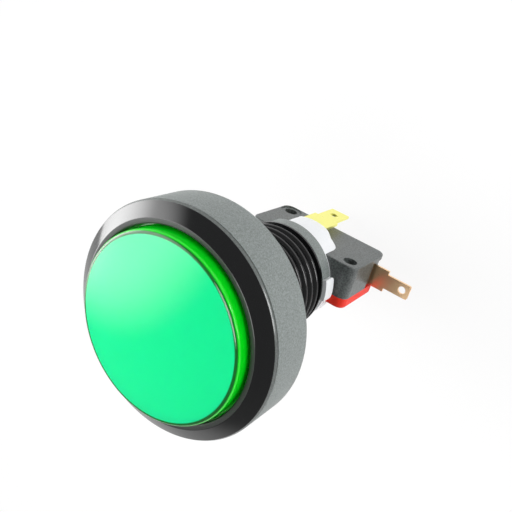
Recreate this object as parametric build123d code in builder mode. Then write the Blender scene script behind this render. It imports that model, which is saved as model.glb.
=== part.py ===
"""Illuminated arcade push button with its lamp holder and micro switch, in millimetres.

Z is the button's axis with the lens at the top, and z = 0 is the flange seat on the panel.
X runs along the micro switch and Y across its thickness.
"""
import os
from math import asin, degrees, sqrt

from build123d import *

os.makedirs("parts", exist_ok=True)

# Head and threaded neck
head_radius = 22.5
drum_height = 9.5
drum_wall = 2.2
drum_edge_round = 0.6
floor_thickness = 2.4
neck_radius = 12.0
neck_length = 24.8
bore_radius = 9.4
neck_ring = 0.6
neck_collar = 1.2
thread_pitch = 2.2
thread_depth = 1.15
thread_clearance = 0.05
thread_crest = 0.3
thread_root = 0.3
thread_start = 1.1
thread_relief = 1.1
thread_turn = 227.0
prong_length = 3.4
prong_start = 22.5
prong_span = 90.0

# Front bezel
bezel_height = 2.3
bezel_side = 0.5
bezel_edge_round = 0.6
seam_chamfer = 0.2
land_width = 1.1
land_round = 0.35
lip_thickness = 1.9
skirt_depth = 2.0
skirt_wall = 0.85

# Lens cap and diffuser
cap_flange_width = 1.2
cap_proud = 2.2
cap_gap = 0.5
cap_wall = 1.4
cap_top_thickness = 1.6
cap_rim_round = 0.6
dome_rise = 1.2
cap_flange_thickness = 1.4
diffuser_thickness = 1.2

# Plunger and return spring
button_travel = 2.2
rim_thickness = 1.2
boss_height = 1.4
spring_groove = 1.1
tube_wall = 1.44
tube_length = 17.0
leg_size = 2.8
leg_root = 6.0
key_width = 2.0
key_height = 0.6
key_length = 12.0
spring_radius = 11.3
spring_wire = 0.7
spring_turns = 3.5
collar_wall = 1.0
collar_height = 1.6
stop_wall = 1.4

# Lamp holder, its terminals and the lamp
holder_radius = 11.4
holder_length = 9.2
holder_shoulder = 5.5
holder_flange = 0.95
holder_disc = 4.2
wing_radius = 12.8
wing_span = 21.7
wing_round = 0.8
wing_gap = 0.5
socket_height = 8.0
socket_wall = 2.0
kidney_span = 65.0
core_floor = 2.2
core_wall = 1.9
hook_thickness = 1.6
hook_width = 8.0
hook_lip = 1.0
lamp_tab_height = 10.17
lamp_tab_width = 4.8
lamp_tab_length = 7.4
lamp_strip_width = 6.3
lamp_strip_reach = 3.8
contact_width = 5.0
lamp_width = 9.5
lamp_thickness = 2.1
lamp_plug = 7.0
lamp_collar_radius = 4.7
lamp_collar_height = 4.0
lamp_wire = 0.3
led_radius = 2.5
led_height = 8.6

# Micro switch
switch_length = 27.8
switch_depth = 15.9
switch_thickness = 10.3
switch_right = 15.61
switch_top = 8.11
switch_corner = 2.0
case_edge_round = 0.3
cover_thickness = 2.5
cover_edge_round = 0.6
cover_lip_wall = 0.8
cover_lip_height = 0.4
case_wall = 1.5
case_roof = 1.3
hole_radius = 1.55
hole_inset = 2.8
hole_boss = 1.1
hole_ring_radius = 2.6
hole_ring_depth = 0.3
end_recess_depth = 0.7
end_recess_length = 5.6
end_recess_roof = 1.2
pin_inset = 9.0
pin_radius = 1.5
pin_proud = 1.8
pin_length = 10.3
pin_collar = 0.5
pin_collar_height = 1.2
pin_travel = 1.1

# Switch contacts and terminals
sheet = 0.6
tab_width = 3.4
tab_hole_radius = 0.9
tab_hole_inset = 1.8
tab_neck_width = 5.2
tab_neck_reach = 3.5
tab_reach = 5.9
end_tab_depth = 12.2
end_tab_inner = 7.1
com_gap = 0.45
com_reach = 6.0
com_width = 3.8
blade_thickness = 0.4
blade_width = 3.4
pivot_reach = 3.0
blade_tail = 0.6
contact_inset = 4.6
contact_radius = 1.6
contact_height = 0.7
anchor_height = 0.5
anchor_reach = 0.4

# Clearances
sliding_fit = 0.06
close_fit = 0.05
loose_fit = 0.3
touch_gap = 0.03

# Levels along the axis
neck_end = -neck_length
prong_end = neck_end - prong_length
land_level = drum_height + bezel_height
rim_level = land_level + cap_proud
apex_level = rim_level + dome_rise
lip_under = land_level - lip_thickness
cap_flange_top = lip_under - close_fit
cap_flange_under = cap_flange_top - cap_flange_thickness
plate_under = cap_flange_under - rim_thickness
plate_top = cap_flange_under + boss_height
tube_end = plate_under - tube_length
stop_top = plate_under - button_travel - close_fit
spring_top = plate_under + spring_groove
holder_front = prong_end - close_fit
switch_front = holder_front - holder_flange
switch_rear = switch_front - switch_depth
disc_top = switch_front + holder_disc
socket_top = disc_top + socket_height
holder_rear = switch_front - holder_length
pin_top = switch_front + pin_proud
pin_foot = pin_top - pin_length
leg_end = pin_top + pin_travel + 2 * close_fit
blade_front = pin_foot - touch_gap
blade_rear = blade_front - blade_thickness

# Radii and places across the axis
core_radius = neck_radius - thread_clearance - thread_depth
drum_inner = head_radius - drum_wall
skirt_outer = drum_inner - close_fit
skirt_inner = skirt_outer - skirt_wall
cap_flange_radius = skirt_inner - loose_fit
cap_radius = cap_flange_radius - cap_flange_width
lip_inner = cap_radius + cap_gap
cap_inner = cap_radius - cap_wall
plate_radius = cap_inner - 2 * close_fit
tube_outer = bore_radius - sliding_fit
tube_inner = tube_outer - tube_wall
spigot_radius = bore_radius - 2 * close_fit
switch_left = switch_right - switch_length
switch_bottom = switch_top - switch_thickness
cover_joint = switch_bottom + cover_thickness
cavity_top = switch_top - case_roof
pin_x = switch_right - pin_inset
pin_y = (switch_top + switch_bottom) / 2
contact_y = (cover_joint + cavity_top) / 2
contact_x = switch_right - contact_inset
com_x = switch_left + hole_inset + hole_radius + hole_boss + com_gap + sheet / 2
pivot_x = com_x - pivot_reach
end_tab_level = switch_front - end_tab_depth
mount_holes = (
    (switch_right - hole_inset, -switch_front + hole_inset),
    (switch_left + hole_inset, -switch_rear - hole_inset),
)

# Sphere of the lens face
dome_sphere = (cap_radius**2 + dome_rise**2) / (2 * dome_rise)


def dome_level(radius):
    """Height of the lens face at a radius: a shallow sphere through the rim and the apex."""
    return apex_level - dome_sphere + sqrt(dome_sphere**2 - radius**2)


def dome_arc(outer, drop):
    """Arc of the lens face from the axis to a radius, lowered by a drop."""
    middle = outer / 2
    return ThreePointArc(
        (0, dome_level(0) - drop), (middle, dome_level(middle) - drop), (outer, dome_level(outer) - drop)
    )


def ring_sector(inner, outer, start, span):
    """Face between two radii over an arc that begins at start degrees."""
    with BuildSketch() as sector:
        with BuildLine():
            far = CenterArc((0, 0), outer, start, span)
            near = CenterArc((0, 0), inner, start, span)
            Line(far @ 0, near @ 0)
            Line(far @ 1, near @ 1)
        make_face()
    return sector.sketch


def across(level):
    """Plane square to Y at a level, with X to the right and depth behind the seat upwards."""
    return Plane(origin=(0, level, 0), x_dir=(1, 0, 0), z_dir=(0, 1, 0))


# Housing: drum, floor, threaded neck and the two bayonet prongs
with BuildPart() as housing:
    with BuildSketch(Plane.XZ):
        with BuildLine():
            Polyline(
                (bore_radius, neck_end),
                (neck_radius, neck_end),
                (neck_radius, neck_end + neck_ring),
                (core_radius, neck_end + neck_ring),
                (core_radius, -neck_collar),
                (neck_radius, -neck_collar),
                (neck_radius, 0),
                (head_radius, 0),
                (head_radius, drum_height),
                (drum_inner, drum_height),
                (drum_inner, floor_thickness),
                (bore_radius, floor_thickness),
                close=True,
            )
        make_face()
    revolve(axis=Axis.Z)
    drum_edges = housing.edges().filter_by(GeomType.CIRCLE).filter_by_position(Axis.Z, -0.01, 0.01)
    fillet(drum_edges.sort_by(SortBy.RADIUS)[-1], radius=drum_edge_round)
    rings = housing.edges().filter_by(GeomType.CIRCLE)
    seam_rings = rings.filter_by_position(Axis.Z, drum_height - 0.01, drum_height + 0.01)
    chamfer(seam_rings.sort_by(SortBy.RADIUS)[-1], length=seam_chamfer)
    with BuildSketch(Plane.XY.offset(floor_thickness)):
        Circle(bore_radius + collar_wall)
        Circle(bore_radius, mode=Mode.SUBTRACT)
    extrude(amount=collar_height)
    with BuildSketch(Plane.XY.offset(floor_thickness)):
        Circle(cap_flange_radius)
        Circle(cap_flange_radius - stop_wall, mode=Mode.SUBTRACT)
    extrude(amount=stop_top - floor_thickness)
    with BuildSketch(Plane.XY.offset(prong_end)):
        add(ring_sector(bore_radius, neck_radius, prong_start, prong_span))
        add(ring_sector(bore_radius, neck_radius, prong_start + 180, prong_span))
    extrude(amount=prong_length)
    # Thread: one ridge with a narrow crest, wound round the core of the neck
    with BuildLine() as thread_line:
        Helix(
            pitch=thread_pitch,
            height=neck_length - thread_start - thread_relief - neck_collar,
            radius=core_radius,
            center=(0, 0, neck_end + thread_start),
        )
    thread_foot = (thread_pitch - thread_root) / 2
    ridge_plane = Plane(origin=thread_line.line @ 0, x_dir=(1, 0, 0), z_dir=thread_line.line % 0)
    with BuildSketch(ridge_plane) as ridge:
        with BuildLine():
            Polyline(
                (-thread_depth / 8, -thread_foot),
                (thread_depth, -thread_crest / 2),
                (thread_depth, thread_crest / 2),
                (-thread_depth / 8, thread_foot),
                close=True,
            )
        make_face()
    thread = sweep(ridge.sketch, path=thread_line.line, is_frenet=True, mode=Mode.PRIVATE)
    add(thread.rotate(Axis.Z, thread_turn))
    # Keyway that holds the plunger's leg over the switch pin
    with BuildSketch(Plane.XY.offset(floor_thickness + collar_height)):
        with Locations((0, -bore_radius)):
            Rectangle(key_width + 2 * close_fit, 2 * (key_height + close_fit))
    extrude(amount=-(key_length + button_travel + floor_thickness + collar_height), mode=Mode.SUBTRACT)
housing.part.label = "housing"
export_step(housing.part, "parts/housing.step")

# Front bezel: glossy cone and land, with a skirt that plugs into the drum
with BuildPart() as front_bezel:
    with BuildSketch(Plane.XZ):
        with BuildLine():
            Polyline(
                (skirt_inner, drum_height - skirt_depth),
                (skirt_outer, drum_height - skirt_depth),
                (skirt_outer, drum_height),
                (head_radius, drum_height),
                (head_radius, drum_height + bezel_side),
                (lip_inner + land_width, land_level),
                (lip_inner, land_level),
                (lip_inner, lip_under),
                (skirt_inner, lip_under),
                close=True,
            )
        make_face()
    revolve(axis=Axis.Z)
    rings = front_bezel.edges().filter_by(GeomType.CIRCLE)
    land_edges = rings.filter_by_position(Axis.Z, land_level - 0.01, land_level + 0.01)
    fillet(land_edges, radius=land_round)
    rings = front_bezel.edges().filter_by(GeomType.CIRCLE)
    side_level = drum_height + bezel_side
    fillet(rings.filter_by_position(Axis.Z, side_level - 0.01, side_level + 0.01), radius=bezel_edge_round)
    rings = front_bezel.edges().filter_by(GeomType.CIRCLE)
    seam_rings = rings.filter_by_position(Axis.Z, drum_height - 0.01, drum_height + 0.01)
    chamfer(seam_rings.sort_by(SortBy.RADIUS)[-1], length=seam_chamfer)
front_bezel.part.label = "front_bezel"
export_step(front_bezel.part, "parts/front_bezel.step")

# Lens cap: domed clear face, side wall and the flange that the bezel keeps in
with BuildPart() as lens_cap:
    with BuildSketch(Plane.XZ):
        with BuildLine():
            dome_arc(cap_radius, 0)
            Polyline(
                (cap_radius, rim_level),
                (cap_radius, cap_flange_top),
                (cap_flange_radius, cap_flange_top),
                (cap_flange_radius, cap_flange_under),
                (cap_inner, cap_flange_under),
                (cap_inner, dome_level(cap_inner) - cap_top_thickness),
            )
            dome_arc(cap_inner, cap_top_thickness)
            Line((0, apex_level - cap_top_thickness), (0, apex_level))
        make_face()
    revolve(axis=Axis.Z)
    rings = lens_cap.edges().filter_by(GeomType.CIRCLE)
    fillet(rings.filter_by_position(Axis.Z, rim_level - 0.01, rim_level + 0.01), radius=cap_rim_round)
lens_cap.part.label = "lens_cap"
export_step(lens_cap.part, "parts/lens_cap.step")

# Diffuser: white inner cap that follows the lens face and stands on the plunger
diffuser_radius = cap_inner - 2 * close_fit
diffuser_inner = diffuser_radius - diffuser_thickness
diffuser_drop = cap_top_thickness + 2 * close_fit
with BuildPart() as diffuser:
    with BuildSketch(Plane.XZ):
        with BuildLine():
            dome_arc(diffuser_radius, diffuser_drop)
            Polyline(
                (diffuser_radius, dome_level(diffuser_radius) - diffuser_drop),
                (diffuser_radius, plate_top),
                (diffuser_inner, plate_top),
                (diffuser_inner, dome_level(diffuser_inner) - diffuser_drop - diffuser_thickness),
            )
            dome_arc(diffuser_inner, diffuser_drop + diffuser_thickness)
            Line(
                (0, apex_level - diffuser_drop - diffuser_thickness),
                (0, apex_level - diffuser_drop),
            )
        make_face()
    revolve(axis=Axis.Z)
diffuser.part.label = "diffuser"
export_step(diffuser.part, "parts/diffuser.step")

# Plunger: plate under the lens, guide tube in the neck and the leg that works the switch
with BuildPart() as plunger:
    with BuildSketch(Plane.XZ):
        with BuildLine():
            Polyline(
                (tube_inner, tube_end),
                (tube_outer, tube_end),
                (tube_outer, plate_under),
                (cap_flange_radius, plate_under),
                (cap_flange_radius, cap_flange_under),
                (plate_radius, cap_flange_under),
                (plate_radius, plate_top),
                (tube_inner, plate_top),
                close=True,
            )
        make_face()
    revolve(axis=Axis.Z)
    with BuildSketch(Plane.XY.offset(plate_under)):
        Circle(spring_radius + spring_wire / 2 + loose_fit)
        Circle(spring_radius - spring_wire / 2 - loose_fit, mode=Mode.SUBTRACT)
    extrude(amount=spring_groove, mode=Mode.SUBTRACT)
    with BuildSketch(Plane.XY.offset(leg_end)):
        with Locations((pin_x, pin_y)):
            Rectangle(leg_size, leg_size)
    extrude(amount=tube_end + leg_root - leg_end)
    with BuildSketch(Plane.XY.offset(tube_end)):
        with Locations((0, -(tube_outer + key_height) / 2 - tube_inner / 2)):
            Rectangle(key_width, tube_outer + key_height - tube_inner)
    extrude(amount=key_length)
plunger.part.label = "plunger"
export_step(plunger.part, "parts/plunger.step")

# Return spring: open coil between the drum's floor and the groove in the plunger's plate
spring_height = spring_top - floor_thickness - spring_wire - 2 * close_fit
with BuildPart() as return_spring:
    with BuildLine() as coil:
        Helix(
            pitch=spring_height / spring_turns,
            height=spring_height,
            radius=spring_radius,
            center=(0, 0, floor_thickness + spring_wire / 2 + close_fit),
        )
    with BuildSketch(Plane(origin=coil.line @ 0, z_dir=coil.line % 0)):
        RegularPolygon(spring_wire / 2, 8)
    sweep(path=coil.line, is_frenet=True)
return_spring.part.label = "return_spring"
export_step(return_spring.part, "parts/return_spring.step")

# Lamp holder: bayonet disc with two wings, lamp socket and the two jaws that grip the switch
strip_half = lamp_strip_width / 2 + close_fit
strip_low = lamp_tab_height - sheet / 2 - close_fit
strip_high = lamp_tab_height + sheet / 2 + close_fit
contact_inner = lamp_thickness / 2 + lamp_wire + close_fit
socket_x = 2 * (contact_inner + sheet + close_fit + socket_wall / 2)
slot_gap = 2 * close_fit
wing_start = prong_start - wing_gap - wing_span
with BuildPart() as lamp_holder:
    with BuildSketch(Plane.YZ):
        with BuildLine():
            Polyline(
                (0, holder_rear),
                (holder_radius, holder_rear),
                (holder_radius, holder_front),
                (spigot_radius, holder_front),
                (spigot_radius, disc_top),
                (0, disc_top),
                close=True,
            )
        make_face()
    revolve(axis=Axis.Z)
    rear_edge = lamp_holder.edges().filter_by(GeomType.CIRCLE).sort_by(Axis.Z)[0]
    fillet(rear_edge, radius=holder_shoulder)
    with BuildSketch(Plane.XY.offset(prong_end)):
        add(ring_sector(spigot_radius - 1, wing_radius, wing_start, wing_span))
        add(ring_sector(spigot_radius - 1, wing_radius, wing_start + 180, wing_span))
    extrude(amount=prong_length - close_fit)
    wing_edges = lamp_holder.edges().filter_by(GeomType.LINE)
    fillet(wing_edges.filter_by_position(Axis.Z, prong_end - 0.01, prong_end + 0.01), radius=wing_round)
    # Seat of the switch between the jaws, open at both sides and at the rear
    with BuildSketch(Plane.XY.offset(switch_front)):
        with Locations((0, pin_y)):
            Rectangle(4 * holder_radius, switch_thickness + 2 * close_fit)
    extrude(amount=-2 * holder_length, mode=Mode.SUBTRACT)
    # Upper jaw ends flush with the lamp terminal on its left side
    with BuildSketch(Plane.XY.offset(switch_front)):
        with Locations((-strip_half, switch_top + close_fit)):
            Rectangle(2 * holder_radius, holder_radius, align=(Align.MAX, Align.MIN))
    extrude(amount=-2 * holder_length, mode=Mode.SUBTRACT)
    # Core in the lower jaw
    core_top = switch_bottom - close_fit - core_wall
    core_bottom = -lamp_tab_height + sheet / 2 + close_fit + core_wall / 2
    with BuildSketch(Plane.XY.offset(holder_rear)):
        with Locations((0, (core_top + core_bottom) / 2)):
            Rectangle(2 * holder_shoulder, core_top - core_bottom)
    extrude(amount=holder_length - core_floor, mode=Mode.SUBTRACT)
    # Snap hook on the lower jaw that closes behind the switch
    hook_top = switch_bottom - close_fit
    hook_end = switch_rear - close_fit - hook_thickness
    with BuildSketch(Plane.YZ.offset(-hook_width / 2)):
        with BuildLine():
            Polyline(
                (hook_top - hook_thickness, holder_rear + core_wall),
                (hook_top, holder_rear + core_wall),
                (hook_top, switch_rear - close_fit),
                (hook_top + hook_lip, switch_rear - close_fit),
                (hook_top, hook_end),
                (hook_top - hook_thickness, hook_end),
                close=True,
            )
        make_face()
    extrude(amount=hook_width)
    # Lamp socket
    with BuildSketch(Plane.XY.offset(disc_top)):
        RectangleRounded(socket_x, lamp_width + socket_wall, socket_wall / 2)
    extrude(amount=socket_height)
    with BuildSketch(Plane.XY.offset(socket_top)):
        Rectangle(lamp_thickness + slot_gap, lamp_width + slot_gap)
    extrude(amount=-(lamp_plug + close_fit), mode=Mode.SUBTRACT)
    with BuildSketch(Plane.XY.offset(socket_top)):
        Rectangle(2 * (contact_inner + sheet + close_fit), contact_width + slot_gap)
    extrude(amount=switch_front - socket_top, mode=Mode.SUBTRACT)
    # Way for the plunger's leg: straight through over the pin, and a pocket to turn the bayonet home
    leg_turn = degrees(asin(pin_y / sqrt(pin_x**2 + pin_y**2)))
    leg_swing = degrees(asin((leg_size / 2 + loose_fit) * sqrt(2) / sqrt(pin_x**2 + pin_y**2)))
    with BuildSketch(Plane.XY.offset(neck_end)):
        add(
            ring_sector(
                pin_x - leg_size / 2 - loose_fit,
                spigot_radius + close_fit,
                leg_turn - leg_swing,
                kidney_span + 2 * leg_swing,
            )
        )
    extrude(amount=leg_end - loose_fit - neck_end, mode=Mode.SUBTRACT)
    with BuildSketch(Plane.XY.offset(neck_end)):
        with Locations((pin_x, pin_y)):
            Rectangle(leg_size + 2 * loose_fit, leg_size + 2 * loose_fit)
    extrude(amount=switch_front - neck_end, mode=Mode.SUBTRACT)
    # Slots for the two lamp terminals
    for side in (1, -1):
        with BuildSketch(Plane.XY.offset(holder_front - close_fit)):
            with Locations((0, side * lamp_tab_height)):
                Rectangle(2 * strip_half, strip_high - strip_low)
        extrude(amount=-2 * holder_length, mode=Mode.SUBTRACT)
        with BuildSketch(Plane.XY.offset(holder_front - close_fit)):
            groove_x = (contact_inner + strip_half) / 2
            groove_y = (strip_high - contact_width / 2) / 2
            with Locations((side * groove_x, side * groove_y)):
                Rectangle(strip_half - contact_inner + slot_gap, strip_high + contact_width / 2 + slot_gap)
        extrude(amount=switch_front - holder_front + close_fit, mode=Mode.SUBTRACT)
lamp_holder.part.label = "lamp_holder"
export_step(lamp_holder.part, "parts/lamp_holder.step")

# Lamp terminals: strip through the jaw with a push-on tab behind and a contact leaf beside the lamp
strip_front = holder_front - 2 * close_fit
shoulder_level = holder_rear - lamp_strip_reach
tab_end = shoulder_level - lamp_tab_length
for place, turn in (("upper", 0), ("lower", 180)):
    with BuildPart() as lamp_terminal:
        with BuildSketch(across(lamp_tab_height - sheet / 2)):
            with BuildLine():
                Polyline(
                    (-lamp_strip_width / 2, -strip_front),
                    (lamp_strip_width / 2, -strip_front),
                    (lamp_strip_width / 2, -shoulder_level),
                    (lamp_tab_width / 2, -shoulder_level),
                    (lamp_tab_width / 2, -tab_end),
                    (-lamp_tab_width / 2, -tab_end),
                    (-lamp_tab_width / 2, -shoulder_level),
                    (-lamp_strip_width / 2, -shoulder_level),
                    close=True,
                )
            make_face()
            with Locations((0, -tab_end - 2 * tab_hole_inset)):
                Circle(tab_hole_radius, mode=Mode.SUBTRACT)
        extrude(amount=sheet)
        with BuildSketch(Plane.XY.offset(strip_front - sheet)):
            with Locations((contact_inner, -contact_width / 2)):
                Rectangle(
                    lamp_strip_width / 2 - contact_inner,
                    lamp_tab_height + sheet / 2 + contact_width / 2,
                    align=(Align.MIN, Align.MIN),
                )
        extrude(amount=sheet)
        with BuildSketch(Plane.XY.offset(strip_front - sheet)):
            with Locations((contact_inner, -contact_width / 2)):
                Rectangle(sheet, contact_width, align=(Align.MIN, Align.MIN))
        extrude(amount=socket_top - lamp_wire - strip_front)
    terminal = lamp_terminal.part.rotate(Axis.Z, turn)
    terminal.label = f"lamp_terminal_{place}"
    export_step(terminal, f"parts/lamp_terminal_{place}.step")

# Lamp: wedge base with its collar, two folded lead wires and the light-emitting diode
with BuildPart() as lamp_base:
    with BuildSketch(Plane.XY.offset(socket_top - lamp_plug)):
        Rectangle(lamp_thickness, lamp_width)
    extrude(amount=lamp_plug)
    with BuildSketch(Plane.XY.offset(socket_top)):
        Circle(lamp_collar_radius)
    extrude(amount=lamp_collar_height)
    top_edge = lamp_base.edges().filter_by(GeomType.CIRCLE).sort_by(Axis.Z)[-1]
    fillet(top_edge, radius=lamp_collar_height / 4)
lamp_base.part.label = "lamp_base"
export_step(lamp_base.part, "parts/lamp_base.step")

with BuildPart() as lamp_leads:
    with BuildSketch(Plane.XY.offset(socket_top - lamp_plug)):
        for side in (1, -1):
            with Locations((side * (lamp_thickness + lamp_wire) / 2, side * contact_width / 8)):
                Rectangle(lamp_wire, contact_width / 2)
    extrude(amount=lamp_plug - lamp_wire)
lamp_leads.part.label = "lamp_leads"
export_step(lamp_leads.part, "parts/lamp_leads.step")

with BuildPart() as lamp_led:
    with BuildSketch(Plane.XY.offset(socket_top + lamp_collar_height)):
        Circle(led_radius)
    extrude(amount=led_height)
    led_tip = lamp_led.edges().filter_by(GeomType.CIRCLE).sort_by(Axis.Z)[-1]
    fillet(led_tip, radius=led_radius * 0.9)
    with BuildSketch(Plane.XY.offset(socket_top + lamp_collar_height)):
        Circle(led_radius * 1.16)
    extrude(amount=led_height / 8)
lamp_led.part.label = "lamp_led"
export_step(lamp_led.part, "parts/lamp_led.step")

# Switch case: black box, open towards the red cover, with two fixing bosses
with BuildPart() as switch_case:
    with BuildSketch(across(cover_joint)):
        with Locations(((switch_right + switch_left) / 2, -(switch_front + switch_rear) / 2)):
            RectangleRounded(switch_length, switch_depth, switch_corner)
    extrude(amount=switch_top - cover_joint)
    fillet(switch_case.faces().sort_by(Axis.Y)[-1].edges(), radius=case_edge_round)
    with BuildSketch(across(cover_joint)):
        with Locations(((switch_right + switch_left) / 2, -(switch_front + switch_rear) / 2)):
            Rectangle(switch_length - 2 * case_wall, switch_depth - 2 * case_wall)
        with Locations(mount_holes):
            Circle(hole_radius + hole_boss, mode=Mode.SUBTRACT)
    extrude(amount=cavity_top - cover_joint, mode=Mode.SUBTRACT)
    with BuildSketch(across(cover_joint)):
        with Locations(mount_holes):
            Circle(hole_radius)
    extrude(amount=switch_top - cover_joint, mode=Mode.SUBTRACT)
    with BuildSketch(across(switch_top)):
        with Locations(mount_holes[1]):
            Circle(hole_ring_radius)
    extrude(amount=-hole_ring_depth, mode=Mode.SUBTRACT)
    with BuildSketch(Plane.XY.offset(switch_front)):
        with Locations((pin_x, pin_y)):
            Circle(pin_radius + sliding_fit)
    extrude(amount=-case_wall, mode=Mode.SUBTRACT)
    # Recess at the end of the case round the end tab
    with BuildSketch(Plane.YZ.offset(switch_right)):
        with Locations((cover_joint, switch_rear)):
            Rectangle(
                switch_top - end_recess_roof - cover_joint, end_recess_length, align=(Align.MIN, Align.MIN)
            )
    extrude(amount=-end_recess_depth, mode=Mode.SUBTRACT)
    # Slots that let the end tab and the common tab out at the joint with the cover
    with BuildSketch(Plane.YZ.offset(switch_right)):
        with Locations((cover_joint, end_tab_level)):
            Rectangle(
                contact_y + tab_neck_width / 2 - cover_joint + close_fit,
                sheet + 2 * close_fit,
                align=(Align.MIN, Align.CENTER),
            )
    extrude(amount=-case_wall, mode=Mode.SUBTRACT)
    with BuildSketch(Plane.XY.offset(switch_rear)):
        with Locations((com_x, cover_joint)):
            Rectangle(
                sheet + 2 * close_fit,
                contact_y + com_width / 2 - cover_joint + close_fit,
                align=(Align.CENTER, Align.MIN),
            )
    extrude(amount=case_wall, mode=Mode.SUBTRACT)
switch_case.part.label = "switch_case"
export_step(switch_case.part, "parts/switch_case.step")

# Switch cover: red lid with a locating lip inside the case
with BuildPart() as switch_cover:
    with BuildSketch(across(switch_bottom)):
        with Locations(((switch_right + switch_left) / 2, -(switch_front + switch_rear) / 2)):
            RectangleRounded(switch_length, switch_depth, switch_corner)
    extrude(amount=cover_thickness)
    fillet(switch_cover.faces().sort_by(Axis.Y)[0].edges(), radius=cover_edge_round)
    with BuildSketch(across(cover_joint)):
        with Locations(((switch_right + switch_left) / 2, -(switch_front + switch_rear) / 2)):
            lip_length = switch_length - 2 * case_wall - 4 * close_fit
            lip_depth = switch_depth - 2 * case_wall - 4 * close_fit
            Rectangle(lip_length, lip_depth)
            Rectangle(lip_length - 2 * cover_lip_wall, lip_depth - 2 * cover_lip_wall, mode=Mode.SUBTRACT)
        with Locations(mount_holes):
            Circle(hole_radius + hole_boss + 2 * close_fit, mode=Mode.SUBTRACT)
    extrude(amount=cover_lip_height)
    with BuildSketch(across(switch_bottom)):
        with Locations(mount_holes):
            Circle(hole_radius)
    extrude(amount=cover_thickness, mode=Mode.SUBTRACT)
switch_cover.part.label = "switch_cover"
export_step(switch_cover.part, "parts/switch_cover.step")

# Switch pin: round plunger with a collar behind the case wall and a rounded foot on the blade
with BuildPart() as switch_pin:
    with BuildSketch(Plane.XY.offset(pin_foot)):
        with Locations((pin_x, pin_y)):
            Circle(pin_radius)
    extrude(amount=pin_length)
    fillet(switch_pin.edges().filter_by(GeomType.CIRCLE), radius=pin_radius * 0.6)
    with BuildSketch(Plane.XY.offset(switch_front - case_wall - close_fit)):
        with Locations((pin_x, pin_y)):
            Circle(pin_radius + pin_collar)
    extrude(amount=-pin_collar_height)
switch_pin.part.label = "switch_pin"
export_step(switch_pin.part, "parts/switch_pin.step")

# Switch blade: springy contact arm, narrowed behind its anchor
with BuildPart() as switch_blade:
    with BuildSketch(Plane.XY.offset(blade_rear)):
        with BuildLine():
            Polyline(
                (pivot_x - blade_tail, contact_y - blade_width / 2),
                (pivot_x + 2 * blade_tail, contact_y - blade_width / 2),
                (pivot_x + 4 * blade_tail, contact_y - blade_width / 3),
                (pin_x - pin_radius, contact_y - blade_width / 3),
                (pin_x, contact_y - blade_width / 2),
                (contact_x, contact_y - blade_width / 2),
            )
            RadiusArc(
                (contact_x, contact_y - blade_width / 2),
                (contact_x, contact_y + blade_width / 2),
                -blade_width / 2,
            )
            Polyline(
                (contact_x, contact_y + blade_width / 2),
                (pin_x, contact_y + blade_width / 2),
                (pin_x - pin_radius, contact_y + blade_width / 3),
                (pivot_x + 4 * blade_tail, contact_y + blade_width / 3),
                (pivot_x + 2 * blade_tail, contact_y + blade_width / 2),
                (pivot_x - blade_tail, contact_y + blade_width / 2),
                (pivot_x - blade_tail, contact_y - blade_width / 2),
            )
        make_face()
    extrude(amount=blade_thickness)
switch_blade.part.label = "switch_blade"
export_step(switch_blade.part, "parts/switch_blade.step")

# Silver contacts: one under the blade's tip and one on the end terminal
contact_drop = pin_travel * (contact_x - pivot_x) / (pin_x - pivot_x) + 2 * close_fit
moving_tip = blade_rear - contact_height
fixed_tip = moving_tip - contact_drop
with BuildPart() as moving_contact:
    with BuildSketch(Plane.XY.offset(blade_rear)):
        with Locations((contact_x, contact_y)):
            Circle(contact_radius)
    extrude(amount=-contact_height)
    fillet(moving_contact.edges().filter_by(GeomType.CIRCLE).sort_by(Axis.Z)[0], radius=contact_height / 2)
moving_contact.part.label = "moving_contact"
export_step(moving_contact.part, "parts/moving_contact.step")

end_tab_face = end_tab_level + sheet / 2
with BuildPart() as fixed_contact:
    with BuildSketch(Plane.XY.offset(end_tab_face)):
        with Locations((contact_x, contact_y)):
            Circle(contact_radius)
    extrude(amount=fixed_tip - end_tab_face)
    fillet(
        fixed_contact.edges().filter_by(GeomType.CIRCLE).sort_by(Axis.Z)[-1],
        radius=(fixed_tip - end_tab_face) / 2,
    )
fixed_contact.part.label = "fixed_contact"
export_step(fixed_contact.part, "parts/fixed_contact.step")

# End terminal: normally open contact, with its wide neck and solder tab past the end of the case
neck_tip = switch_right + tab_neck_reach
end_tab_tip = neck_tip + tab_reach
with BuildPart() as end_terminal:
    with BuildSketch(Plane.XY.offset(end_tab_level - sheet / 2)):
        with Locations((switch_right - end_tab_inner, contact_y)):
            Rectangle(end_tab_inner + tab_neck_reach, tab_neck_width, align=(Align.MIN, Align.CENTER))
        with Locations((neck_tip, contact_y)):
            Rectangle(tab_reach, tab_width, align=(Align.MIN, Align.CENTER))
        with Locations((end_tab_tip - tab_hole_inset, contact_y)):
            Circle(tab_hole_radius, mode=Mode.SUBTRACT)
    extrude(amount=sheet)
    fillet(end_terminal.edges().filter_by(Axis.Z).sort_by(Axis.X)[-2:], radius=tab_hole_radius / 2)
end_terminal.part.label = "end_terminal"
export_step(end_terminal.part, "parts/end_terminal.step")

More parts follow.
